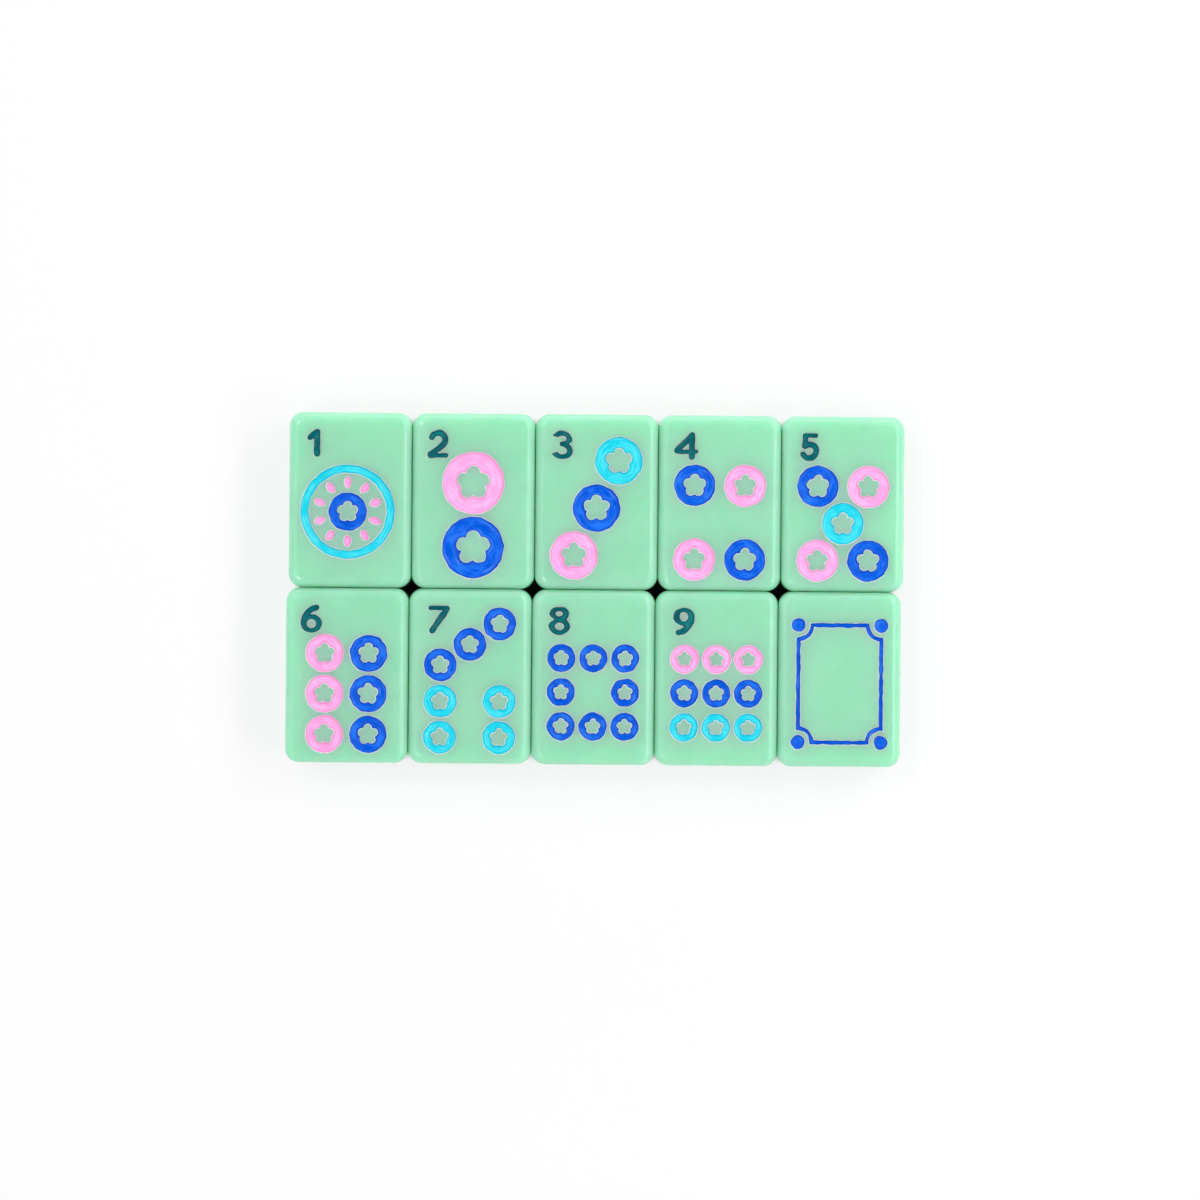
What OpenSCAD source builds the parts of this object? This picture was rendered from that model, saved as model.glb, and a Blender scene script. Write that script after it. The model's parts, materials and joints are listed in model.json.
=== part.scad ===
// Ten mahjong tiles of the dots suit, laid face up in two rows of five: one to nine, and a frame tile.
// Each tile is a rounded block with an engraved face, and every engraved recess holds a paint fill.
// Millimetres. The backs lie on z = 0, the faces look up, and the numerals read upright from -Y.

/* [Tile] */
// Width of a tile, side to side
tile_w = 21.15; // [19:0.05:26]
// Height of a tile, lower end to upper end
tile_h = 30.15; // [26:0.05:36]
// Thickness of a tile, back to face
tile_t = 13; // [8:0.5:20]
// Radius of the four upright edges
corner_r = 2.4; // [2:0.1:3.5]
// Radius of the edges round the face and round the back
edge_r = 1.7; // [0.8:0.1:1.9]

/* [Layout] */
// Gap between neighbouring tiles
tile_gap = 0.05; // [0.05:0.05:2]
// How far the upper row stands to the right of the lower row
row_shift = 0.35; // [0:0.05:3]

/* [Engraving] */
// Depth of the engraved recesses below the face
cut_depth = 0.6; // [0.4:0.05:1.2]
// How far the paint lies below the face
paint_recess = 0.15; // [0.1:0.05:0.3]
// Width of the bare rim that goes from the face down to the paint
rim_w = 0.2; // [0.1:0.05:0.25]
// Clearance between a paint fill and the wall of its recess
paint_clearance = 0.02; // [0.01:0.01:0.05]

/* [Numerals] */
// Height of a numeral
numeral_h = 4.8; // [4:0.1:5.6]
// Width of a numeral's strokes
numeral_stroke = 1.05; // [0.6:0.05:1.2]
// Share of that width that the level strokes have
bar_share = 0.75; // [0.6:0.05:1]
// From a tile's left side to the middle of its numeral, before the numeral's own shift
numeral_side = 4.6; // [4:0.05:5.6]
// From a tile's upper end to the top of its numeral
numeral_top = 2.95; // [2:0.05:3.5]

/* [Dots] */
// Bare margin between a tile's lower end and its lowest dots
lower_margin = 1.75; // [1.5:0.05:2.5]
// Bare margin between a tile's sides and the nearest dots, where the dots fill the width
side_margin = 2.65; // [2:0.05:4]
// Smallest gap between neighbouring dots
dot_gap = 0.55; // [0.5:0.05:1]
// Gap between the upper dot of the two tile and the lower right corner of the numeral beside it
two_clear = 0.7; // [0.4:0.05:1.5]
// From the upper end of the three tile to its highest dot
three_top = 3.9; // [2:0.1:6]
// Gap between the dots on the three tile
three_gap = 0.85; // [0.5:0.05:1.5]
// Slope of the row of dots on the three tile, in degrees
three_slope = 65; // [58:1:70]
// Diameter of the dots on the four tile
four_d = 7.1; // [6:0.1:8.5]
// Gap between the columns on the four tile, which the five tile shares
four_gap = 1.6; // [0.6:0.1:2]
// Gap between the numeral and the dots below it on the four and five tiles
four_below = 0.8; // [0.3:0.05:2]
// Gap between the numeral and the dots below it on the six tile
six_below = 0.3; // [0.3:0.05:2]
// Gap between the columns on the six tile
six_gap = 1.1; // [0.6:0.1:2]
// From the upper end of the seven tile to its highest dot
seven_top = 3.15; // [2:0.05:4]
// Slope of the upper row of dots on the seven tile, in degrees
seven_slope = 35; // [30:1:40]
// Gap between the numeral and the dots below it on the eight and nine tiles
nine_below = 1.6; // [0.3:0.1:3]
// Gap between the rows on the eight and nine tiles
nine_gap = 1; // [0.5:0.1:1.5]
// Bare margin between the lower end and the lowest dots on the eight and nine tiles
nine_margin = 4.2; // [1.75:0.05:5]

/* [Blossoms] */
// Share of a dot's diameter that its bare blossom takes up
blossom_share = 0.56; // [0.5:0.01:0.6]
// Share of a blossom's radius that one round petal takes up
petal_share = 0.42; // [0.4:0.01:0.44]
// Share of a blossom's radius that its round core takes up
core_share = 0.66; // [0.5:0.01:0.68]

/* [Wheel on the one tile] */
// Outer diameter of the ring
wheel_d = 16.2; // [14:0.1:17]
// Width of the ring
wheel_band = 1.4; // [1:0.05:1.8]
// From the middle of the tile down to the middle of the wheel
wheel_drop = 2.05; // [0.5:0.05:3]
// From the middle of the tile to the left, to the middle of the wheel
wheel_side = 0.4; // [0:0.05:0.5]
// Diameter of the dot in the middle
hub_d = 6.6; // [5:0.1:7.5]
// Number of petals round the hub
petal_count = 10; // [6:1:11]
// Length of a petal, from tip to tip
petal_l = 2; // [1.4:0.05:2.4]
// Width of a petal
petal_w = 1.2; // [0.8:0.05:1.3]

/* [Frame tile] */
// Bare margin at each side of the frame
frame_side = 2.25; // [2:0.05:4]
// Bare margin at each end of the frame
frame_end = 3.8; // [2:0.1:6]
// From the middle of the tile down to the middle of the frame
frame_drop = 0.75; // [0:0.05:1]
// Width of the frame's line
frame_line = 0.7; // [0.4:0.05:0.8]
// Radius of the notches at the frame's corners
notch_r = 2.4; // [2.3:0.1:4]
// Diameter of the round studs in the notches
stud_d = 2.4; // [1.6:0.1:2.5]

/* [Hidden] */
$fn = 96;
FRAME = 10;
MINT = [0.58, 0.88, 0.71];
TEAL = [0.0, 0.41, 0.43];
PAINT = [["sky", [0.22, 0.86, 0.94]], ["blue", [0.08, 0.34, 0.9]], ["pink", [0.99, 0.7, 0.92]]];

columns = 5;
petals_in_blossom = 5;
arc_step = 12;
floor_z = tile_t - cut_depth;
paint_z = tile_t - paint_recess;
paint_h = cut_depth - paint_recess;
// How far a cutting shape runs past the surface that it cuts
over = 0.5;

function tile_name(n) = n == FRAME ? "frame_tile" : str("tile_", n);
function block_node(n) = str(tile_name(n), "_block");
function numeral_node(n) = str(tile_name(n), "_numeral_paint");
function paint_node(n, hue) = str(tile_name(n), "_", hue, "_paint");

// The middle of a tile's back on the table
function tile_column(n) = (n - 1) % columns - (columns - 1) / 2;
function tile_side(n) = n <= columns ? 1 : -1;
function tile_place(n) = [
    tile_column(n) * (tile_w + tile_gap) + tile_side(n) * row_shift / 2,
    tile_side(n) * (tile_h + tile_gap) / 2,
    0
];

// The dots of each tile fill a field of its face: all of them below the numeral, or some beside it
field_w = tile_w - 2 * side_margin;
field_low = lower_margin - tile_h / 2;
numeral_low = tile_h / 2 - numeral_top - numeral_h;
numeral_size = (numeral_h - numeral_stroke) / 2;
// How far each numeral, from one to nine, stands to the right of the common place
numeral_shift = [-0.25, -0.2, -0.05, 0.1, 0.1, -0.15, 0.6, 0.15, 0.3];

// The diameter of n dots in a row that fills some room. In a slanting row the dots after the first
// count by the sine of the slope for height, and by its cosine for width
function fit(room, gap, n) = (room - (n - 1) * gap) / n;
function step(d, gap, slope) = (d + gap) * [cos(slope), sin(slope)];

// The diameter of two dots, one above the other, where the upper one clears a corner: rise is how far
// the corner stands above the lowest point of the dots, less their gap, and run how far to the side
function beside_fit(rise, run, clear) = let (b = 3 * rise + clear)
    (b - sqrt(b * b - 8 * (rise * rise + run * run - clear * clear))) / 4;

two_run = tile_w / 2 - numeral_side - numeral_right(2);
two_d = beside_fit(numeral_low - field_low - dot_gap, two_run, two_clear);
two_y = field_low + two_d / 2;

three_d = min(
    fit(tile_h / 2 - three_top - field_low, three_gap, 1 + 2 * sin(three_slope)),
    fit(field_w, three_gap, 1 + 2 * cos(three_slope))
);
three_y = field_low + three_d / 2;
three_step = step(three_d, three_gap, three_slope);

four_x = (four_d + four_gap) / 2;
four_y = field_low + four_d / 2;
four_rise = numeral_low - four_below - field_low - four_d;

five_d = min(four_d, norm([four_x, four_rise / 2]) - dot_gap);

six_h = numeral_low - six_below - field_low;
six_d = min(fit(six_h, dot_gap, 3), fit(field_w, six_gap, 2));
six_x = (six_d + six_gap) / 2;
six_y = field_low + six_d / 2;
six_row = (six_h - six_d) / 2;

seven_d = min(
    fit(tile_h / 2 - seven_top - field_low, dot_gap, 3 + 2 * sin(seven_slope)),
    fit(field_w, dot_gap, 1 + 2 * cos(seven_slope))
);
seven_y = field_low + seven_d / 2;
seven_row = seven_d + dot_gap;
seven_step = step(seven_d, dot_gap, seven_slope);

nine_low = nine_margin - tile_h / 2;
nine_h = numeral_low - nine_below - nine_low;
nine_d = min(fit(nine_h, nine_gap, 3), fit(field_w, dot_gap, 3));
nine_x = (field_w - nine_d) / 2;
nine_y = nine_low + nine_d / 2;
nine_row = (nine_h - nine_d) / 2;
nine_hues = ["sky", "blue", "pink"];

// The dots of each tile, from its own middle: x, y, diameter and hue
function corner_dots(d) = [
    [-four_x, four_y, d, "pink"],
    [four_x, four_y, d, "blue"],
    [-four_x, four_y + four_rise, d, "blue"],
    [four_x, four_y + four_rise, d, "pink"]
];

function seven_dots() = [
    for (side = [-1, 1], row = [0, 1])
        [side * seven_step[0], seven_y + row * seven_row, seven_d, "sky"],
    for (i = [0:2])
        [(i - 1) * seven_step[0], seven_y + 2 * seven_row + i * seven_step[1], seven_d, "blue"]
];

function dots(n) =
    n == 1 ? [[-wheel_side, -wheel_drop, hub_d, "blue"]] :
    n == 2 ? [[0, two_y, two_d, "blue"], [0, two_y + two_d + dot_gap, two_d, "pink"]] :
    n == 3 ? [for (i = [0:2])
        [(i - 1) * three_step[0], three_y + i * three_step[1], three_d, ["pink", "blue", "sky"][i]]] :
    n == 4 ? corner_dots(four_d) :
    n == 5 ? concat(
        corner_dots(five_d),
        [[0, four_y + four_rise / 2, five_d, "sky"]]
    ) :
    n == 6 ? [for (side = [0, 1], row = [0:2])
        [(2 * side - 1) * six_x, six_y + row * six_row, six_d, ["pink", "blue"][side]]] :
    n == 7 ? seven_dots() :
    n == 8 ? [for (i = [-1:1], row = [0:2]) if (i != 0 || row != 1)
        [i * nine_x, nine_y + row * nine_row, nine_d, "blue"]] :
    n == 9 ? [for (i = [-1:1], row = [0:2])
        [i * nine_x, nine_y + row * nine_row, nine_d, nine_hues[row]]] :
    [];

function hues(n) =
    n == 2 || n == 4 || n == 6 ? ["blue", "pink"] :
    n == 7 ? ["sky", "blue"] :
    n == 8 || n == FRAME ? ["blue"] :
    ["sky", "blue", "pink"];

// One side of a block seen end on, with its face edge and its back edge rounded
module edge_profile() {
    inner = corner_r - edge_r;
    square([inner, tile_t]);
    translate([inner, edge_r])
        square([edge_r, tile_t - 2 * edge_r]);
    translate([inner, tile_t - edge_r])
        intersection() {
            circle(edge_r);
            square(edge_r);
        }
    translate([inner, 0])
        intersection() {
            translate([0, edge_r])
                circle(edge_r);
            square(edge_r);
        }
}

// A block without its engraving: a core, four sides and four upright corners that meet face to face
module plain_block() {
    flat_w = tile_w - 2 * corner_r;
    flat_h = tile_h - 2 * corner_r;
    translate([-flat_w / 2, -flat_h / 2, 0])
        cube([flat_w, flat_h, tile_t]);
    for (turn = [0, 180])
        rotate(turn) {
            translate([flat_w / 2, 0, 0])
                rotate([90, 0, 0])
                    linear_extrude(flat_h, center = true)
                        edge_profile();
            translate([0, flat_h / 2, 0])
                rotate([90, 0, 90])
                    linear_extrude(flat_w, center = true)
                        edge_profile();
            translate([flat_w / 2, flat_h / 2, 0])
                rotate_extrude(angle = 90)
                    edge_profile();
            translate([-flat_w / 2, flat_h / 2, 0])
                rotate(90)
                    rotate_extrude(angle = 90)
                        edge_profile();
        }
}

// A flat layer of paint on the floor of a recess
module paint_layer() {
    translate([0, 0, floor_z])
        linear_extrude(paint_h)
            children();
}

// A recess: children 0 is the painted outline, cut deep, and children 1 the same with its bare rim
module recess() {
    translate([0, 0, floor_z])
        linear_extrude(cut_depth + over)
            children(0);
    translate([0, 0, paint_z])
        linear_extrude(paint_recess + over)
            children(1);
}

// A dot: a painted disc round a bare blossom of round petals. It grows at both edges by grow
module blossom_outline(d, grow) {
    r = blossom_share * d / 2;
    petal_r = petal_share * r;
    for (i = [0:petals_in_blossom - 1])
        rotate(90 + i * 360 / petals_in_blossom)
            translate([r - petal_r, 0])
                circle(petal_r - grow);
    circle(core_share * r - grow);
}

module dot_outline(d, grow) {
    difference() {
        circle(d / 2 + grow);
        blossom_outline(d, grow);
    }
}

module dot_recess(d) {
    recess() {
        dot_outline(d, 0);
        dot_outline(d, rim_w);
    }
}

// The wheel on the one tile: a ring, and pointed petals midway between it and the hub, each where
// two circles cross
petal_orbit = (hub_d / 2 + wheel_d / 2 - wheel_band) / 2;
petal_arc = (petal_l * petal_l + petal_w * petal_w) / (4 * petal_w);

module wheel_ring_outline(grow) {
    translate([-wheel_side, -wheel_drop])
        difference() {
            circle(wheel_d / 2 + grow);
            circle(wheel_d / 2 - wheel_band - grow);
        }
}

module petal_outlines(grow) {
    translate([-wheel_side, -wheel_drop])
        for (i = [0:petal_count - 1])
            rotate(90 + i * 360 / petal_count)
                translate([petal_orbit, 0])
                    intersection_for(side = [-1, 1])
                        translate([0, side * (petal_arc - petal_w / 2)])
                            circle(petal_arc + grow);
}

module wheel_recess() {
    recess() {
        wheel_ring_outline(0);
        wheel_ring_outline(rim_w);
    }
    recess() {
        petal_outlines(0);
        petal_outlines(rim_w);
    }
}

// The frame tile: a line with notched corners, and a round stud in each notch
stud_x = tile_w / 2 - frame_side - stud_d / 2;
stud_y = tile_h / 2 - frame_end - stud_d / 2;

module at_studs() {
    for (x = [0, 1], y = [0, 1])
        mirror([x, 0, 0])
            mirror([0, y, 0])
                translate([stud_x, stud_y, 0])
                    children();
}

module frame_bar(length, line) {
    square([length + line, line], center = true);
}

module frame_outline(grow) {
    line = frame_line + 2 * grow;
    translate([0, -frame_drop]) {
        for (side = [-1, 1]) {
            translate([0, side * stud_y])
                frame_bar(2 * (stud_x - notch_r), line);
            translate([side * stud_x, 0])
                rotate(90)
                    frame_bar(2 * (stud_y - notch_r), line);
        }
        at_studs()
            intersection() {
                difference() {
                    circle(notch_r + line / 2);
                    circle(notch_r - line / 2);
                }
                translate([-2 * notch_r, -2 * notch_r])
                    square(2 * notch_r);
            }
        at_studs()
            circle(stud_d / 2 + grow);
    }
}

module frame_recess() {
    recess() {
        frame_outline(0);
        frame_outline(rim_w);
    }
}

// Numerals are strokes on paths, level bars and oval rings, in a box that is two units high. Their
// ends are round, apart from the end of a stroke that runs into a ring
function arc_points(middle, r, from, to) = let (steps = ceil(abs(to - from) / arc_step)) [
    for (i = [0:steps]) let (a = from + (to - from) * i / steps)
        middle + [r[0] * cos(a), r[1] * sin(a)]
];

function numeral_paths(n) =
    n == 1 ? [[[-0.4, 0.52], [0.2, 0.92]], [[0.28, 1], [0.25, -1]]] :
    n == 2 ? [concat(arc_points([0.05, 0.38], [0.64, 0.62], 160, -40), [[-0.66, -0.96]])] :
    n == 4 ? [[[0.55, 1], [0.55, -1]], [[0.5, 0.95], [-0.84, -0.46]]] :
    n == 5 ? [
        [[-0.34, 1], [-0.42, 0.12]],
        arc_points([-0.02, -0.36], [0.65, 0.64], 128, -148)
    ] :
    n == 6 ? [arc_points([0.69, -0.455], [1.39, 1.48], 100, 176)] :
    n == 7 ? [[[0.74, 0.98], [-0.62, -1]]] :
    n == 9 ? [for (path = numeral_paths(6)) -path] :
    [];

function numeral_bars(n) =
    n == 2 ? [[[-0.7, -1.07], [0.76, -1.07]]] :
    n == 4 ? [[[-0.88, -0.52], [0.9, -0.52]]] :
    n == 5 ? [[[-0.3, 1.07], [0.58, 1.07]]] :
    n == 7 ? [[[-0.78, 1.07], [0.78, 1.07]]] :
    [];

// The middle of each ring, its half width and half height, and where a gap in it begins and ends
function numeral_rings(n) =
    n == 3 ? [[0, 0.6, 0.66, 0.48, 163, 250], [0, -0.5, 0.73, 0.58, 110, 197]] :
    n == 6 ? [[0, -0.455, 0.7, 0.625]] :
    n == 8 ? [[-0.02, 0.635, 0.6, 0.445], [0, -0.535, 0.7, 0.545]] :
    n == 9 ? [[0, 0.455, 0.7, 0.625]] :
    [];

function unit(v) = v / norm(v);
function heading(path, i) = let (last = len(path) - 1)
    unit(path[min(i + 1, last)] - path[max(i - 1, 0)]);
function beside(path, i, shift) = let (d = heading(path, i)) path[i] + shift * [-d[1], d[0]];
function round_end(tip, d, half) = let (a = atan2(d[1], d[0])) [
    for (turn = [arc_step - 90:arc_step:90 - arc_step]) tip + half * [cos(a + turn), sin(a + turn)]
];
function stroke_outline(path, half, runs_in) = let (last = len(path) - 1) concat(
    [for (i = [0:last]) beside(path, i, -half)],
    runs_in ? [] : round_end(path[last], heading(path, last), half),
    [for (i = [last:-1:0]) beside(path, i, half)],
    round_end(path[0], -heading(path, 0), half)
);

// From the common place of the numerals to the right end of one
function numeral_right(n) = numeral_shift[n - 1] + numeral_stroke / 2 + numeral_size
    * max([for (path = concat(numeral_paths(n), numeral_bars(n))) for (p = path) p[0]]);

module oval(half_w, half_h) {
    polygon([for (turn = [0:arc_step:360 - arc_step]) [half_w * cos(turn), half_h * sin(turn)]]);
}

// The room of a gap in a ring, from the ring's middle outward
module ring_gap(from, to, grow) {
    spread = (to - from) / 2;
    rotate((from + to) / 2)
        translate([grow / sin(spread), 0])
            polygon(numeral_h * [[0, 0], [cos(spread), -sin(spread)], [1, 0], [cos(spread), sin(spread)]]);
}

module numeral_outline(n, grow) {
    half = numeral_stroke / 2 + grow;
    bar_half = bar_share * numeral_stroke / 2 + grow;
    rings = numeral_rings(n);
    translate([numeral_side + numeral_shift[n - 1] - tile_w / 2, numeral_low + numeral_h / 2]) {
        for (path = numeral_paths(n))
            polygon(stroke_outline(numeral_size * path, half, len(rings) > 0));
        for (bar = numeral_bars(n))
            polygon(stroke_outline(numeral_size * bar, bar_half, false));
        for (ring = rings)
            translate(numeral_size * [ring[0], ring[1]])
                difference() {
                    oval(numeral_size * ring[2] + half, numeral_size * ring[3] + bar_half);
                    oval(numeral_size * ring[2] - half, numeral_size * ring[3] - bar_half);
                    if (len(ring) > 4)
                        ring_gap(ring[4], ring[5], grow);
                }
    }
}

module numeral_recess(n) {
    recess() {
        numeral_outline(n, 0);
        numeral_outline(n, rim_w);
    }
}

// The sub-parts of a tile: its block, the paint in its numeral, and the paint of each hue in its dots
module tile_block(n) {
    color(MINT)
        translate(tile_place(n))
            difference() {
                plain_block();
                for (dot = dots(n))
                    translate([dot[0], dot[1], 0])
                        dot_recess(dot[2]);
                if (n == 1)
                    wheel_recess();
                if (n == FRAME)
                    frame_recess();
                else
                    numeral_recess(n);
            }
}

module numeral_paint(n) {
    color(TEAL)
        translate(tile_place(n))
            paint_layer()
                numeral_outline(n, -paint_clearance);
}

module hue_paint(n, hue) {
    color(PAINT[search([hue], PAINT)[0]][1])
        translate(tile_place(n))
            paint_layer() {
                for (dot = dots(n))
                    if (dot[3] == hue)
                        translate([dot[0], dot[1]])
                            dot_outline(dot[2], -paint_clearance);
                if (n == 1 && hue == "sky")
                    wheel_ring_outline(-paint_clearance);
                if (n == 1 && hue == "pink")
                    petal_outlines(-paint_clearance);
                if (n == FRAME)
                    frame_outline(-paint_clearance);
            }
}

for (n = [1:FRAME])
    tile_block(n);
for (n = [1:FRAME - 1])
    numeral_paint(n);
for (n = [1:FRAME])
    for (hue = hues(n))
        hue_paint(n, hue);
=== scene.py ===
"""Looks of a set of ten mahjong tiles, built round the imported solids.

Every block and every paint fill is modelled again as a mesh. Its outlines are read from the upper
faces of the paint solids, so each piece lies where its solid lies. The recess walls, their frosted
lips and the sunken paint follow the distance to those outlines.
Lengths are in millimetres in the tile's own frame until a mesh is made. Those of the view, the
stage and the lamps are in metres.
"""
import json
import math
from typing import NamedTuple

import bmesh
import bpy
import numpy as np
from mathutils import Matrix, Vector
from mathutils.geometry import delaunay_2d_cdt


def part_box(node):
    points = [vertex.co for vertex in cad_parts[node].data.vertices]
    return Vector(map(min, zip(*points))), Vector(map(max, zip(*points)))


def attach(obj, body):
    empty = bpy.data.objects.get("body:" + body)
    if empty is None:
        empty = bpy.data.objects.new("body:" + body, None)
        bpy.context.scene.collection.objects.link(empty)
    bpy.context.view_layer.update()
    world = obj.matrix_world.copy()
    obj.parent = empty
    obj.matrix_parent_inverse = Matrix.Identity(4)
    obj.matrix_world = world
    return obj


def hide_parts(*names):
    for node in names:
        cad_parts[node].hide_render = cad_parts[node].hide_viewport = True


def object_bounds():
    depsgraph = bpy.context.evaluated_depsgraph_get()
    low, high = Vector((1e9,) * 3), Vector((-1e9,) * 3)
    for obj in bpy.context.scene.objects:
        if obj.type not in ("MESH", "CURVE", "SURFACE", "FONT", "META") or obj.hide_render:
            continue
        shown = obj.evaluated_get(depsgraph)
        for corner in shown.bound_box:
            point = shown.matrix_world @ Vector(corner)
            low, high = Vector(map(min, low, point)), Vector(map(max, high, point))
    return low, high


MM = 0.001

# Block edges: radii, the turns in degrees of the rounding's points, and where the face is flat
CORNER_R = 2.4
EDGE_R = 1.7
CORNER_STEPS = 12
FACE_TURNS = (0, 6, 14, 24, 36, 50)
SIDE_TURNS = (64, 78, 90)
FLAT_FROM_EDGE = 0.15

# Engraving: pairs of distance from the paint's outline and height from the face
WALL = ((-0.06, -0.6), (0.0, -0.17), (0.05, -0.11), (0.15, -0.03), (0.2, -0.006), (0.25, 0.0))
FLAT_FROM_PAINT = 0.33
PAINT = (
    (0.03, -0.14), (0.0, -0.16), (-0.06, -0.22), (-0.14, -0.285), (-0.25, -0.355), (-0.4, -0.43),
    (-0.6, -0.49), (-0.85, -0.525), (-1.15, -0.535),
)
PAINT_BASE = -0.595

# Frosted lips: where they begin and end, as distances from the paint's outline
FROSTED_FROM = -0.05
FROSTED_TO = 0.11
NUMERAL_FROSTED_TO = 0.05

# Unsteady hand: depth and number of the outlines' waves, and their pace in radians per millimetre
WOBBLE = 0.035
WOBBLE_WAVES = 14
WOBBLE_PACE = (1.5, 5)
HAND_SEED = 7

# Grid of distances, and tolerances
REACH = 1.6
GRID = 0.15
CELL_END = 0.001
MERGE = 0.002
DECIMALS = 4
EPS = 1e-4

# Plastic: sizes of its clouds and of the marks in its polish, and how light spreads in it
CLOUD_SIZE = 5
CLOUD_DETAIL = 3
CLOUD_RANGE = (0.35, 0.65)
POLISH_SIZE = 2.5
POLISH_DETAIL = 2
POLISH_RANGE = (0.3, 0.7)
POLISH_ROUGHNESS = (0.04, 0.07)
PLASTIC_IOR = 1.6
LIGHT_DEPTH = 4
LIGHT_SPREAD = (0.4, 1.2, 0.8)
MINT_PALE = (0.353, 0.75, 0.51)
MINT_DEEP = (0.333, 0.73, 0.49)

# Surface of the frosted lips
SCRATCH_SIZE = 0.3
SCRATCH_DETAIL = 3
SCRATCH_RANGE = (0.35, 0.65)
SCRATCH_DEPTH = 0.01
LIP_ROUGHNESS = 0.55
LIP_PALE = (0.8, 0.93, 0.85)
LIP_DEEP = (0.7, 0.86, 0.76)

# Surface of the paint: streaks along the walls, whose colour is partly painted light and shade, and
# the band by the walls that is deeper in colour, from thicker paint and from painted shade of the
# walls
STREAK_LENGTH = 2.5
STREAK_WIDTH = 0.3
STREAK_DETAIL = 3
STREAK_RANGE = (0.4, 0.7)
STREAK_DEPTH = 0.06
GLOSS_RANGE = (0.3, 0.7)
GLOSS_ROUGHNESS = (0.04, 0.1)
# Painted shade: the distances from a wall over which the paint goes from its darker wall colour to
# its own
DEEP_AND_SHADED_BAND = (-0.02, 0.3)
PAINT_IOR = 1.5
PAINT_SPECULAR = 0.12

# Paint colours: in the middle of a stroke, in the paler streaks where it runs thinner and where light
# is painted, and along the walls, where it lies thicker and where the walls' shade is painted
PAINT_COLOURS = {
    "teal_paint": ((0.0, 0.11, 0.13), (0.0, 0.2, 0.21), (0.0, 0.06, 0.075)),
    "blue_paint": ((0.0, 0.095, 0.69), (0.02, 0.19, 0.92), (0.0, 0.05, 0.42)),
    "sky_paint": ((0.01, 0.65, 0.81), (0.08, 0.77, 0.9), (0.0, 0.42, 0.6)),
    "pink_paint": ((0.965, 0.38, 0.75), (0.98, 0.515, 0.845), (0.93, 0.2, 0.56)),
}

# View: its width at the height of the faces, its turn in degrees, and the sensor in millimetres
VIEW_DISTANCE = 0.7
VIEW_WIDTH = 0.2063
VIEW_MIDDLE = (0.00091, -0.00177)
VIEW_TURN = 0.5
SENSOR_WIDTH = 36

# Floor, and the painted shade that darkens it in the gaps between the tiles
FLOOR_SIZE = 4
FLOOR_GLOW = 0.7
FLOOR_COLOUR = (0.9, 0.9, 0.9)
GAP_PAINTED_SHADE = (0.08, 0.12, 0.08)
GAP_RAYS = 8
GAP_REACH = 0.008
GAP_OPEN = (0.2, 0.45)

# Surrounding, from the horizon up: the light that it gives, and its brightness where it is seen
GIVEN_LOW = 1.2
GIVEN_TOP = 0.28
GIVEN_RISE = (0.0, 0.5)
SEEN_LOW = 1.0
SEEN_TOP = 0.08
SEEN_RISE = (0.05, 0.85)

# Lamps: name, place, size across and up, and brightness; all look at the set's middle
LAMPS = (
    ("right_strip", (0.4, 0.1, 0.5), (0.9, 0.22), 2.6),
    ("right_lamp_far", (0.34, 0.22, 0.5), (0.14, 0.12), 8),
    ("right_lamp_near", (0.34, -0.22, 0.5), (0.14, 0.12), 8),
    ("left_strip", (-0.4, 0, 0.5), (0.9, 0.1), 2.2),
    ("left_lamp_far", (-0.43, 0.38, 1.3), (0.45, 0.35), 6.5),
    ("left_lamp_near", (-0.43, -0.38, 1.3), (0.45, 0.35), 6.5),
    ("back_panel", (0.1, 0.55, 0.1), (0.9, 0.18), 1.5),
)


class Tile(NamedTuple):
    """A tile's body, its middle and size, and the grid on which its distances are worked out."""
    body: str
    middle: np.ndarray
    size: np.ndarray
    xs: np.ndarray
    ys: np.ndarray


# Distances

def top_outline(solid, middle):
    """The edges round the upper faces of a solid, as pairs of points."""
    mesh = solid.data
    points = np.array([v.co for v in mesh.vertices]) / MM
    top = points[:, 2].max() - EPS
    uses = {}
    for face in mesh.polygons:
        corners = [tuple(np.round(points[i], DECIMALS)) for i in face.vertices]
        if min(c[2] for c in corners) < top:
            continue
        for a, b in zip(corners, corners[1:] + corners[:1]):
            key = (min(a, b), max(a, b))
            uses[key] = uses.get(key, 0) + 1
    lines = [(a[:2], b[:2]) for (a, b), count in uses.items() if count == 1]
    return np.array(lines) - middle


def wobble(tile, rng):
    """A smooth uneven field of about unit height, as of an outline that a cutter followed by hand."""
    gx, gy = np.meshgrid(tile.xs, tile.ys)
    total = np.zeros(gx.shape)
    for _ in range(WOBBLE_WAVES):
        turn, phase = rng.uniform(0, 2 * math.pi, 2)
        pace = rng.uniform(*WOBBLE_PACE)
        total += np.sin(pace * (gx * math.cos(turn) + gy * math.sin(turn)) + phase)
    return total / math.sqrt(WOBBLE_WAVES / 2)


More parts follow.
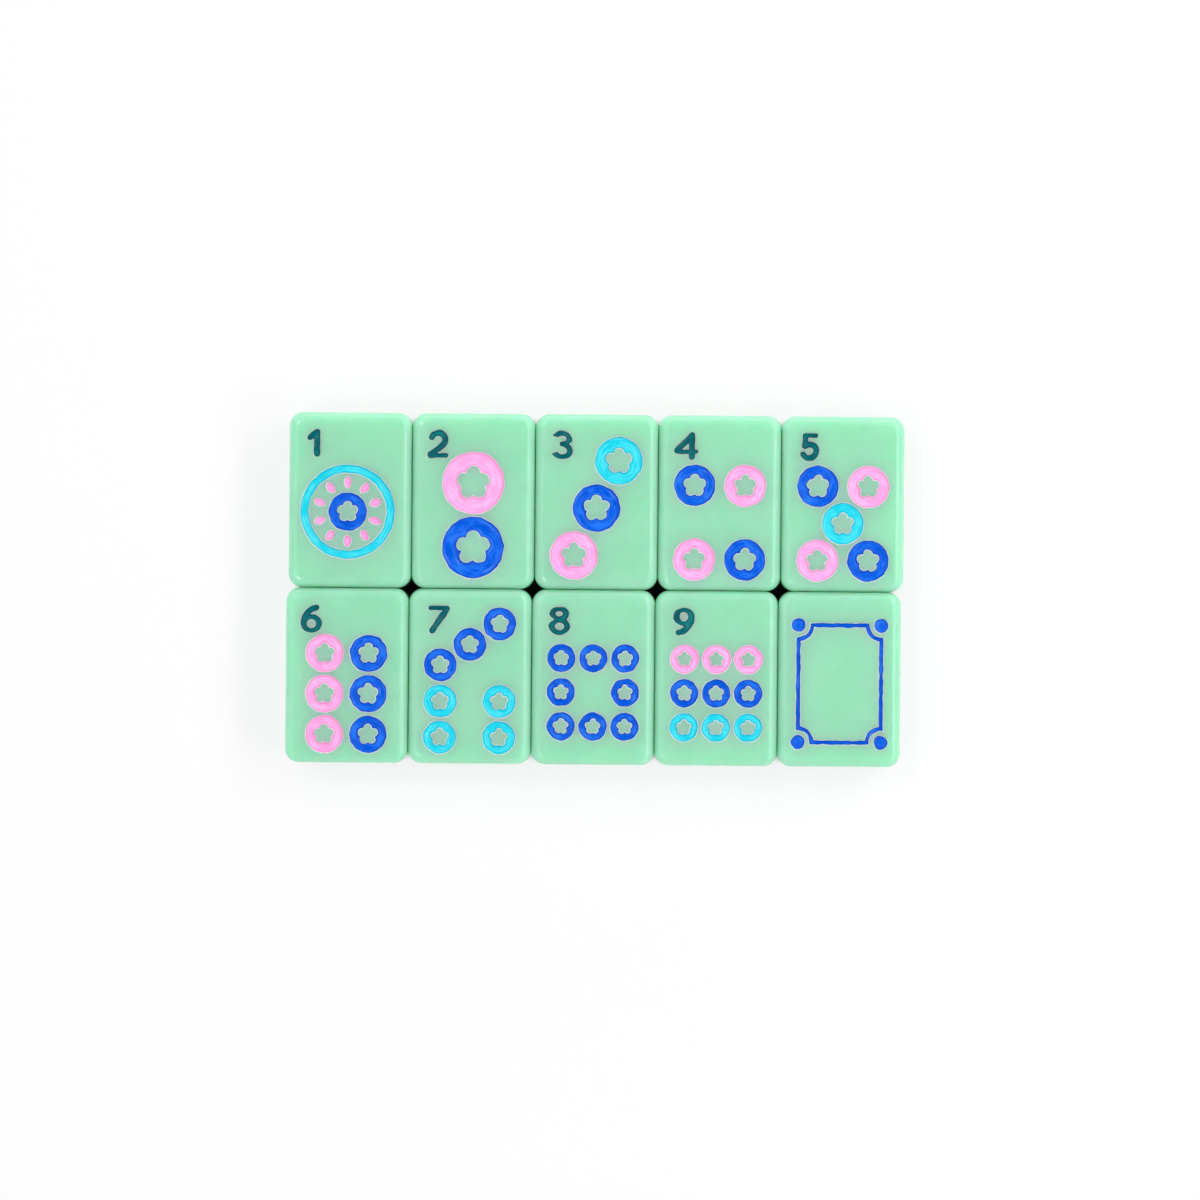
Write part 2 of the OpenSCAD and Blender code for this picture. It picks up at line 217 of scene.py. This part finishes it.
def distance_field(lines, tile):
    """Distance to an outline on a tile's grid, negative inside it and cut off at REACH."""
    xs, ys = tile.xs, tile.ys
    field = np.full((len(ys), len(xs)), REACH)
    crossings = np.zeros((len(ys), len(xs) + 1), int)
    for (x0, y0), (x1, y1) in lines:
        cols = slice(*np.searchsorted(xs, (min(x0, x1) - REACH, max(x0, x1) + REACH)))
        rows = slice(*np.searchsorted(ys, (min(y0, y1) - REACH, max(y0, y1) + REACH)))
        gx, gy = np.meshgrid(xs[cols], ys[rows])
        dx, dy = x1 - x0, y1 - y0
        along = np.clip(((gx - x0) * dx + (gy - y0) * dy) / (dx * dx + dy * dy), 0, 1)
        near = np.hypot(gx - x0 - along * dx, gy - y0 - along * dy)
        field[rows, cols] = np.minimum(field[rows, cols], near)
        hit = np.nonzero((ys >= min(y0, y1)) & (ys < max(y0, y1)))[0]
        if len(hit):
            crossings[hit, np.searchsorted(xs, x0 + (ys[hit] - y0) * dx / dy)] += 1
    inside = np.cumsum(crossings, axis=1)[:, :-1] % 2 == 1
    field[inside] *= -1
    return field


def sample(field, tile, points):
    """The field's value at points, from the four grid places round each."""
    across = np.clip((points[:, 0] - tile.xs[0]) / GRID, 0, len(tile.xs) - 1 - CELL_END)
    up = np.clip((points[:, 1] - tile.ys[0]) / GRID, 0, len(tile.ys) - 1 - CELL_END)
    c, r = across.astype(int), up.astype(int)
    u, v = across - c, up - r
    low = field[r, c] * (1 - u) + field[r, c + 1] * u
    high = field[r + 1, c] * (1 - u) + field[r + 1, c + 1] * u
    return low * (1 - v) + high * v


def contour(field, level, tile):
    """The points and edges of the lines along which a field crosses a level."""
    rise = field - level
    rise[np.abs(rise) < EPS] = EPS
    above = rise > 0
    flat = above[:, 1:] != above[:, :-1]
    steep = above[1:, :] != above[:-1, :]
    flat_id = np.cumsum(flat).reshape(flat.shape) - 1
    steep_id = np.cumsum(steep).reshape(steep.shape) - 1 + flat.sum()
    r, c = np.nonzero(flat)
    share = rise[r, c] / (rise[r, c] - rise[r, c + 1])
    flat_points = np.stack([tile.xs[c] + share * GRID, tile.ys[r]], -1)
    r, c = np.nonzero(steep)
    share = rise[r, c] / (rise[r, c] - rise[r + 1, c])
    steep_points = np.stack([tile.xs[c], tile.ys[r] + share * GRID], -1)
    crossed = np.stack([flat[:-1], steep[:, 1:], flat[1:], steep[:, :-1]], -1)
    ids = np.stack([flat_id[:-1], steep_id[:, 1:], flat_id[1:], steep_id[:, :-1]], -1)
    count = crossed.sum(-1)
    single = ids[count == 2][crossed[count == 2]].reshape(-1, 2)
    double = ids[count == 4].reshape(-1, 2)
    return np.concatenate([flat_points, steep_points]), np.concatenate([single, double])


# Outlines and meshes

def edge_inset(turn):
    """How far in the rounding of an edge lies, at a turn of 0 on the face and 90 on the side."""
    return EDGE_R * (1 - math.sin(math.radians(turn)))


def ring(inset, size):
    """A rounded rectangle, inset from a tile's outline."""
    radius = CORNER_R - inset
    reach_x, reach_y = size[:2] / 2 - CORNER_R
    points = []
    for quarter, (sx, sy) in enumerate(((1, 1), (-1, 1), (-1, -1), (1, -1))):
        for i in range(CORNER_STEPS + 1):
            turn = math.radians(90 * (quarter + i / CORNER_STEPS))
            x = sx * reach_x + radius * math.cos(turn)
            y = sy * reach_y + radius * math.sin(turn)
            points.append((x, y))
    return np.array(points)


def inset_of(points, size):
    """How far points lie inside a tile's outline."""
    past = np.abs(points) - (size[:2] / 2 - CORNER_R)
    outer = np.hypot(*np.maximum(past, 0).T)
    return CORNER_R - outer - np.minimum(past.max(axis=1), 0)


def closed_edges(count):
    """The edges of a closed line of points."""
    ids = np.arange(count)
    return np.stack([ids, np.roll(ids, -1)], -1)


def triangulate(lines):
    """A flat mesh that keeps the given lines: points, triangles and the place of each input point."""
    points = np.concatenate([p for p, _ in lines])
    starts = np.cumsum([0] + [len(p) for p, _ in lines])
    edges = np.concatenate([e + start for (_, e), start in zip(lines, starts)])
    flat = [Vector(p) for p in points]
    made, _, triangles, origins, _, _ = delaunay_2d_cdt(flat, edges.tolist(), [], 0, MERGE)
    place = np.zeros(len(points), int)
    for i, sources in enumerate(origins):
        place[sources] = i
    return np.array([tuple(v) for v in made]), np.array(triangles), place


def clean_normals(mesh):
    """Turns every face outward and drops points that no face uses."""
    work = bmesh.new()
    work.from_mesh(mesh)
    loose = [v for v in work.verts if not v.link_faces]
    bmesh.ops.delete(work, geom=loose, context="VERTS")
    bmesh.ops.recalc_face_normals(work, faces=work.faces)
    work.to_mesh(mesh)
    work.free()


def new_piece(name, points, faces, body, replaced, middle, materials, second=(), inside=()):
    """A smooth mesh in metres that rides on a tile and stands for its solid.

    second marks the faces that take the second material, and inside gives each point's distance
    from the nearest wall, for materials that change towards an edge."""
    mesh = bpy.data.meshes.new(name)
    placed = (np.asarray(points) + [*middle, 0]) * MM
    mesh.from_pydata(placed.tolist(), [], [list(map(int, f)) for f in faces])
    for material in materials:
        mesh.materials.append(material)
    index = np.zeros(len(mesh.polygons), int)
    index[:len(second)] = second
    mesh.polygons.foreach_set("material_index", index)
    mesh.polygons.foreach_set("use_smooth", [True] * len(mesh.polygons))
    if len(inside):
        mesh.attributes.new("inside", "FLOAT", "POINT").data.foreach_set("value", np.asarray(inside))
    clean_normals(mesh)
    piece = bpy.data.objects.new(name, mesh)
    bpy.context.scene.collection.objects.link(piece)
    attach(piece, body)
    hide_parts(replaced)


# Tiles

def make_block(tile, field, numeral, looks):
    """A tile's block: an engraved face, rounded edges, straight sides and a plain back."""
    thick = tile.size[2]
    insets = [EDGE_R + FLAT_FROM_EDGE] + [edge_inset(turn) for turn in FACE_TURNS]
    rings = [ring(inset, tile.size) for inset in insets]
    lines = [(points, closed_edges(len(points))) for points in rings]
    levels = [level for level, _ in WALL] + [FLAT_FROM_PAINT]
    lines += [contour(field, level, tile) for level in levels]
    flat, faces, place = triangulate(lines)
    distance = sample(field, tile, flat)
    short = np.maximum(EDGE_R - inset_of(flat, tile.size), 0)
    rounding = np.sqrt(np.maximum(EDGE_R**2 - short**2, 0)) - EDGE_R
    cut = np.interp(distance, *zip(*WALL))
    points = np.column_stack([flat, thick + np.minimum(rounding, cut)])
    centres = flat[faces].mean(axis=1)
    by_numeral = sample(numeral, tile, centres) < REACH / 2
    from_paint = sample(field, tile, centres)
    lip_end = np.where(by_numeral, NUMERAL_FROSTED_TO, FROSTED_TO)
    on_lip = (from_paint > FROSTED_FROM) & (from_paint < lip_end)

    rim = len(rings[-1])
    edge = place[rim * (len(rings) - 1):rim * len(rings)]
    points, faces = points.tolist(), faces.tolist()
    turns = [(turn, 1) for turn in SIDE_TURNS]
    turns += [(turn, -1) for turn in reversed(FACE_TURNS + SIDE_TURNS)]
    for turn, half in turns:
        drop = EDGE_R * (1 - math.cos(math.radians(turn)))
        z = thick / 2 + half * (thick / 2 - drop)
        lower = len(points) + np.arange(rim)
        points += [(x, y, z) for x, y in ring(edge_inset(turn), tile.size)]
        faces += [[edge[i - 1], lower[i - 1], lower[i], edge[i]] for i in range(rim)]
        edge = lower
    faces.append(list(edge[::-1]))
    new_piece(
        f"{tile.body}_body", points, faces, tile.body, f"{tile.body}_block",
        tile.middle, [looks["mint_plastic"], looks["frosted_rim"]], second=on_lip,
    )


def make_paint(tile, node, field, look):
    """The paint in one set of recesses: a sunken glossy surface, walls and a flat underside."""
    thick = tile.size[2]
    lines = [contour(field, level, tile) for level, _ in PAINT]
    outline = lines[0]
    limit = PAINT[0][0]
    flat, faces, place = triangulate(lines)
    distance = sample(field, tile, flat)
    faces = faces[sample(field, tile, flat[faces].mean(axis=1)) < limit]
    levels, heights = zip(*PAINT[::-1])
    points = np.column_stack([flat, thick + np.interp(distance, levels, heights)])
    base, base_faces, base_place = triangulate([outline])
    base_faces = base_faces[sample(field, tile, base[base_faces].mean(axis=1)) < limit]
    base_points = np.column_stack([base, np.full(len(base), thick + PAINT_BASE)])
    start = len(points)
    all_faces = faces.tolist() + (base_faces[:, ::-1] + start).tolist()
    all_faces += [
        [place[a], place[b], start + base_place[b], start + base_place[a]] for a, b in outline[1]
    ]
    inside = np.concatenate([-distance, np.zeros(len(base))])
    new_piece(
        node.replace("_paint", "_fill"), np.concatenate([points, base_points]), all_faces,
        tile.body, node, tile.middle, [look], inside=inside,
    )


def make_tile(body, nodes, solids, looks, rng):
    """One tile: its block, and the paint in each set of its recesses."""
    low, high = (np.array(corner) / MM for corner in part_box(f"{body}_block"))
    size = high - low
    xs, ys = (np.arange(-side / 2, side / 2 + GRID, GRID) for side in size[:2])
    tile = Tile(body, (low + high)[:2] / 2, size, xs, ys)
    fields = {}
    for node in nodes:
        if node.endswith("_paint"):
            uneven = WOBBLE * wobble(tile, rng)
            fields[node] = distance_field(top_outline(solids[node], tile.middle), tile) + uneven
    far_off = np.full((len(ys), len(xs)), REACH)
    numeral = fields.get(f"{body}_numeral_paint", far_off)
    make_block(tile, np.minimum.reduce(list(fields.values())), numeral, looks)
    for node, field in fields.items():
        hue = node.split("_")[-2]
        slot = "teal_paint" if hue == "numeral" else f"{hue}_paint"
        make_paint(tile, node, field, looks[slot])


# Shader nodes

def new_material(name):
    """A material with its node tree and its principled shader."""
    made = bpy.data.materials.new(name)
    made.use_nodes = True
    return made, made.node_tree, made.node_tree.nodes["Principled BSDF"]


def feed(tree, socket, value):
    """Gives an input a link from an output, a colour or a number."""
    if isinstance(value, bpy.types.NodeSocket):
        tree.links.new(value, socket)
    elif isinstance(value, tuple):
        socket.default_value = (*value, 1)
    else:
        socket.default_value = value


def math_node(tree, operation, first, second):
    """The result of an operation on two values, each an output or a number."""
    made = tree.nodes.new("ShaderNodeMath")
    made.operation = operation
    feed(tree, made.inputs[0], first)
    feed(tree, made.inputs[1], second)
    return made.outputs[0]


def blend(tree, share, first, second):
    """A colour that goes from the first to the second as share goes from 0 to 1."""
    mix = tree.nodes.new("ShaderNodeMix")
    mix.data_type = "RGBA"
    tree.links.new(share, mix.inputs["Factor"])
    sockets = [s for s in mix.inputs if s.type == "RGBA"]
    for socket, value in zip(sockets, (first, second)):
        feed(tree, socket, value)
    return next(s for s in mix.outputs if s.type == "RGBA")


def ranged(tree, value, low, high, to_low=0.0, to_high=1.0):
    """A number taken from one range to another, and held at its ends."""
    made = tree.nodes.new("ShaderNodeMapRange")
    made.interpolation_type = "SMOOTHSTEP"
    made.inputs["From Min"].default_value = low
    made.inputs["From Max"].default_value = high
    made.inputs["To Min"].default_value = to_low
    made.inputs["To Max"].default_value = to_high
    tree.links.new(value, made.inputs["Value"])
    return made.outputs["Result"]


def noise_at(tree, place, detail):
    """Noise at a place, with lumps of about unit size."""
    made = tree.nodes.new("ShaderNodeTexNoise")
    made.inputs["Scale"].default_value = 1
    made.inputs["Detail"].default_value = detail
    tree.links.new(place, made.inputs["Vector"])
    return made.outputs["Fac"]


def noise(tree, size_mm, detail):
    """Noise in the piece's own frame with lumps of about the given size."""
    place = tree.nodes.new("ShaderNodeTexCoord")
    scale = tree.nodes.new("ShaderNodeMapping")
    scale.inputs["Scale"].default_value = [1 / (size_mm * MM)] * 3
    tree.links.new(place.outputs["Object"], scale.inputs["Vector"])
    return noise_at(tree, scale.outputs["Vector"], detail)


def streaks(tree, inside):
    """Noise drawn out along the walls, as of a cutter's marks under the paint."""
    place = tree.nodes.new("ShaderNodeTexCoord")
    split = tree.nodes.new("ShaderNodeSeparateXYZ")
    join = tree.nodes.new("ShaderNodeCombineXYZ")
    tree.links.new(place.outputs["Object"], split.inputs[0])
    for axis in ("X", "Y"):
        along = math_node(tree, "DIVIDE", split.outputs[axis], STREAK_LENGTH * MM)
        tree.links.new(along, join.inputs[axis])
    tree.links.new(math_node(tree, "DIVIDE", inside, STREAK_WIDTH), join.inputs["Z"])
    return noise_at(tree, join.outputs[0], STREAK_DETAIL)


def bump(tree, shader, height, depth_mm):
    """Fine relief of the given depth."""
    made = tree.nodes.new("ShaderNodeBump")
    made.inputs["Distance"].default_value = depth_mm * MM
    tree.links.new(height, made.inputs["Height"])
    tree.links.new(made.outputs["Normal"], shader.inputs["Normal"])


# Materials

def plastic(name, pale, deep):
    """Polished translucent plastic, faintly clouded."""
    made, tree, shader = new_material(name)
    cloud = ranged(tree, noise(tree, CLOUD_SIZE, CLOUD_DETAIL), *CLOUD_RANGE)
    tree.links.new(blend(tree, cloud, deep, pale), shader.inputs["Base Color"])
    polish = noise(tree, POLISH_SIZE, POLISH_DETAIL)
    roughness = ranged(tree, polish, *POLISH_RANGE, *POLISH_ROUGHNESS)
    tree.links.new(roughness, shader.inputs["Roughness"])
    shader.inputs["IOR"].default_value = PLASTIC_IOR
    shader.inputs["Subsurface Weight"].default_value = 1
    shader.inputs["Subsurface Radius"].default_value = LIGHT_SPREAD
    shader.inputs["Subsurface Scale"].default_value = LIGHT_DEPTH * MM
    return made


def frosted(name, pale, deep):
    """The bare lip of a recess, left matt and whitish by the cutter."""
    made, tree, shader = new_material(name)
    scratch = noise(tree, SCRATCH_SIZE, SCRATCH_DETAIL)
    colour = blend(tree, ranged(tree, scratch, *SCRATCH_RANGE), deep, pale)
    tree.links.new(colour, shader.inputs["Base Color"])
    shader.inputs["Roughness"].default_value = LIP_ROUGHNESS
    bump(tree, shader, scratch, SCRATCH_DEPTH)
    return made


def enamel(name, middle, thin_and_lit, edge):
    """Engraving paint with uneven gloss: paler where it runs thinner and deeper along the walls where
    it lies thicker, with painted light and shade in streaks along the cutter's marks and painted
    shade of the walls.
    """
    made, tree, shader = new_material(name)
    place = tree.nodes.new("ShaderNodeAttribute")
    place.attribute_name = "inside"
    inside = place.outputs["Fac"]
    streak = streaks(tree, inside)
    # Painted light and shade: paler and darker streaks along the walls, as light falls on the
    # cutter's marks, besides paint that runs thinner
    inner = blend(tree, ranged(tree, streak, *STREAK_RANGE), middle, thin_and_lit)
    # Painted shade: the colour deepens in a band by the walls, where the walls shade the paint and
    # the paint lies thicker
    colour = blend(tree, ranged(tree, inside, *DEEP_AND_SHADED_BAND), edge, inner)
    tree.links.new(colour, shader.inputs["Base Color"])
    roughness = ranged(tree, streak, *GLOSS_RANGE, *GLOSS_ROUGHNESS)
    tree.links.new(roughness, shader.inputs["Roughness"])
    bump(tree, shader, streak, STREAK_DEPTH)
    shader.inputs["IOR"].default_value = PAINT_IOR
    shader.inputs["Specular IOR Level"].default_value = PAINT_SPECULAR
    return made


# Stage, lamps and camera

def seen_by_eye(tree):
    """1 for rays that come from the camera, a reflection or a view through the object, else 0."""
    path = tree.nodes.new("ShaderNodeLightPath")
    seen = path.outputs["Is Camera Ray"]
    for kind in ("Is Glossy Ray", "Is Transmission Ray"):
        seen = math_node(tree, "MAXIMUM", seen, path.outputs[kind])
    return seen


def openness(tree):
    """How open a place is: 0 down in a narrow gap, 1 in the open or beside a single wall."""
    made = tree.nodes.new("ShaderNodeAmbientOcclusion")
    made.samples = GAP_RAYS
    made.inputs["Distance"].default_value = GAP_REACH
    return ranged(tree, made.outputs["AO"], *GAP_OPEN)


def make_floor():
    """A white floor that keeps the shadow, with painted shade in the narrow gaps between the tiles.
    """
    bpy.ops.mesh.primitive_plane_add(size=FLOOR_SIZE)
    floor = bpy.context.object
    floor.name = "floor"
    made, tree, shader = new_material("floor_white")
    # Painted shade: in narrow gaps the floor's colour darkens and its glow fades, where shade falls
    clear = openness(tree)
    tree.links.new(blend(tree, clear, GAP_PAINTED_SHADE, FLOOR_COLOUR), shader.inputs["Base Color"])
    shader.inputs["Roughness"].default_value = 1
    shader.inputs["Specular IOR Level"].default_value = 0
    glow = tree.nodes.new("ShaderNodeEmission")
    mix = tree.nodes.new("ShaderNodeMixShader")
    seen = math_node(tree, "MULTIPLY", seen_by_eye(tree), clear)
    tree.links.new(math_node(tree, "MULTIPLY", seen, FLOOR_GLOW), mix.inputs["Fac"])
    tree.links.new(shader.outputs[0], mix.inputs[1])
    tree.links.new(glow.outputs[0], mix.inputs[2])
    tree.links.new(mix.outputs[0], tree.nodes["Material Output"].inputs["Surface"])
    floor.data.materials.append(made)


def make_surrounding():
    """A surrounding that is seen white round about and dark overhead, and gives soft light."""
    world = bpy.data.worlds.new("surrounding")
    world.use_nodes = True
    bpy.context.scene.world = world
    tree = world.node_tree
    place = tree.nodes.new("ShaderNodeTexCoord")
    split = tree.nodes.new("ShaderNodeSeparateXYZ")
    tree.links.new(place.outputs["Generated"], split.inputs[0])
    height = split.outputs["Z"]
    given = ranged(tree, height, *GIVEN_RISE, GIVEN_LOW, GIVEN_TOP)
    seen = ranged(tree, height, *SEEN_RISE, SEEN_LOW, SEEN_TOP)
    strength = tree.nodes.new("ShaderNodeMapRange")
    tree.links.new(seen_by_eye(tree), strength.inputs["Value"])
    tree.links.new(given, strength.inputs["To Min"])
    tree.links.new(seen, strength.inputs["To Max"])
    back = tree.nodes["Background"]
    back.inputs["Color"].default_value = (1, 1, 1, 1)
    tree.links.new(strength.outputs["Result"], back.inputs["Strength"])


def area_light(name, place, size, radiance):
    """A soft lamp of the given brightness that looks at the set's middle."""
    lamp = bpy.data.lights.new(name, "AREA")
    lamp.shape = "RECTANGLE"
    lamp.size, lamp.size_y = size
    lamp.energy = radiance * math.pi * size[0] * size[1]
    made = bpy.data.objects.new(name, lamp)
    made.location = place
    made.rotation_euler = (-Vector(place)).to_track_quat("-Z", "Y").to_euler()
    bpy.context.scene.collection.objects.link(made)


def make_camera(face_z):
    """The photograph's view: straight down, from a long way off."""
    lens = bpy.data.cameras.new("camera")
    lens.sensor_width = SENSOR_WIDTH
    lens.lens = SENSOR_WIDTH * VIEW_DISTANCE / VIEW_WIDTH
    camera = bpy.data.objects.new("camera", lens)
    camera.location = (*VIEW_MIDDLE, face_z + VIEW_DISTANCE)
    camera.rotation_euler = (0, 0, math.radians(VIEW_TURN))
    bpy.context.scene.collection.objects.link(camera)
    bpy.context.scene.camera = camera


# The scene

bpy.context.scene.view_settings.view_transform = "Standard"
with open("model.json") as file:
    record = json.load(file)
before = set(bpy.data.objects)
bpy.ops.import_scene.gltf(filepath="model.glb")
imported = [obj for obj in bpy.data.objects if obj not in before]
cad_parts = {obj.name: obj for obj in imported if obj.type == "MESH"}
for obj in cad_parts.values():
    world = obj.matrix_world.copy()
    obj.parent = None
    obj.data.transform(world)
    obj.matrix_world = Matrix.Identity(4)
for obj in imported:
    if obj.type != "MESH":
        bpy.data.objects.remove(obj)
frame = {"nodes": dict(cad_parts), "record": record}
cad_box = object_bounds()
make_camera(cad_box[1].z)
make_floor()
make_surrounding()
for lamp_settings in LAMPS:
    area_light(*lamp_settings)

all_looks = {
    "mint_plastic": plastic("mint_plastic", MINT_PALE, MINT_DEEP),
    "frosted_rim": frosted("frosted_rim", LIP_PALE, LIP_DEEP),
}
for paint_slot, colours in PAINT_COLOURS.items():
    all_looks[paint_slot] = enamel(paint_slot, *colours)
hand = np.random.default_rng(HAND_SEED)
for tile_body, tile_nodes in frame["record"]["behaviour"]["bodies"].items():
    make_tile(tile_body, tile_nodes, frame["nodes"], all_looks, hand)
